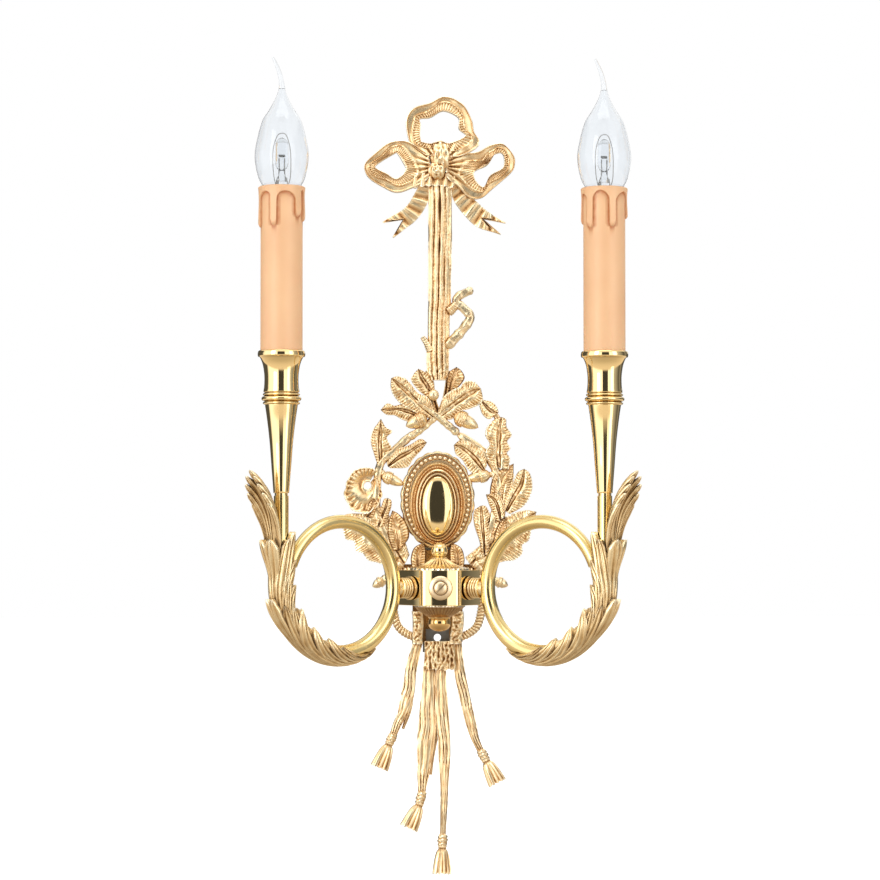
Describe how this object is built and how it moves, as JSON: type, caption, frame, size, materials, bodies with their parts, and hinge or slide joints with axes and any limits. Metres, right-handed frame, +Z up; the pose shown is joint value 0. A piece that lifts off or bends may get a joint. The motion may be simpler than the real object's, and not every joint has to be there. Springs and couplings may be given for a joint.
{
  "type": "double arm wall sconce",
  "caption": "Wall light in cast brass: ribbon bow, oak wreath and tassels on the wall, hunting-horn arms from a hub box, each with a candle tube and a flame lamp.",
  "frame": {"origin": "on the wall plane, midway between the two fixing holes of the wall strap, behind the middle of the hub box", "axes": "+X to the right as seen from the room, +Y into the wall, +Z up"},
  "size_m": [0.2592, 0.1424, 0.5387],
  "materials": {
    "cast_brass": "satin gilt casting, brown in the recesses",
    "polished_brass": "polished and lacquered",
    "zinc_steel": "zinc plated",
    "white_plastic": "moulded",
    "cable_sheath": "smooth",
    "holder_plastic": "moulded",
    "candle_plastic": "satin candle cover with stained drips",
    "insulator": "vitreous black with a soldered contact",
    "lamp_cap": "bright rolled",
    "clear_glass": "clear",
    "capsule_glass": "clear quartz with a filament"
  },
  "bodies": {
    "sconce": {"oak_crown": "cast_brass", "oak_branch_left": "cast_brass", "oak_branch_right": "cast_brass", "reed_post": "cast_brass", "ribbon_bow": "cast_brass", "medallion_frame": "cast_brass", "spine_plate": "cast_brass", "drop_binding": "cast_brass", "strap_far_left": "cast_brass", "strap_left": "cast_brass", "strap_middle": "cast_brass", "strap_far_right": "cast_brass", "left_rope": "cast_brass", "right_rope": "cast_brass", "left_acanthus": "cast_brass", "right_acanthus": "cast_brass", "cabochon": "polished_brass", "hub_box": "polished_brass", "hub_top_dome": "polished_brass", "hub_bottom_dome": "polished_brass", "top_ball": "polished_brass", "bottom_finial": "polished_brass", "hub_rosette": "polished_brass", "hub_screw": "polished_brass", "hub_spacer": "polished_brass", "wall_strap": "zinc_steel", "left_arm": "polished_brass", "left_collar": "polished_brass", "left_nipple": "polished_brass", "left_locknut": "zinc_steel", "left_cone": "polished_brass", "left_cup": "polished_brass", "left_rod": "zinc_steel", "left_socket_shell": "polished_brass", "left_centre_contact": "polished_brass", "left_connector": "white_plastic", "left_cable": "cable_sheath", "left_lampholder": "holder_plastic", "left_candle_sleeve": "candle_plastic", "right_arm": "polished_brass", "right_collar": "polished_brass", "right_nipple": "polished_brass", "right_locknut": "zinc_steel", "right_cone": "polished_brass", "right_cup": "polished_brass", "right_rod": "zinc_steel", "right_socket_shell": "polished_brass", "right_centre_contact": "polished_brass", "right_connector": "white_plastic", "right_cable": "cable_sheath", "right_lampholder": "holder_plastic", "right_candle_sleeve": "candle_plastic"},
    "left_lamp_rise": {"left_lamp_contact": "insulator"},
    "left_lamp": {"left_lamp_cap": "lamp_cap", "left_lamp_glass": "clear_glass", "left_lamp_capsule": "capsule_glass"},
    "right_lamp_rise": {"right_lamp_contact": "insulator"},
    "right_lamp": {"right_lamp_cap": "lamp_cap", "right_lamp_glass": "clear_glass", "right_lamp_capsule": "capsule_glass"}
  },
  "joints": [
    {"name": "left_lamp_travel", "type": "slide", "parent": "sconce", "child": "left_lamp_rise", "axis": [0, 0, 1], "range_m": [0, 0.01128]},
    {"name": "left_lamp_turn", "type": "hinge", "parent": "left_lamp_rise", "child": "left_lamp", "pos_m": [-0.10382, -0.12024, 0.24], "axis": [0, 0, 1], "range_deg": [0, 1440]},
    {"name": "right_lamp_travel", "type": "slide", "parent": "sconce", "child": "right_lamp_rise", "axis": [0, 0, 1], "range_m": [0, 0.01128]},
    {"name": "right_lamp_turn", "type": "hinge", "parent": "right_lamp_rise", "child": "right_lamp", "pos_m": [0.10382, -0.12024, 0.24], "axis": [0, 0, 1], "range_deg": [0, 1440]}
  ],
  "couplings": [
    {"joint": "left_lamp_turn", "follows": "left_lamp_travel", "rad_per_m": 2228.1},
    {"joint": "right_lamp_turn", "follows": "right_lamp_travel", "rad_per_m": 2228.1}
  ]
}
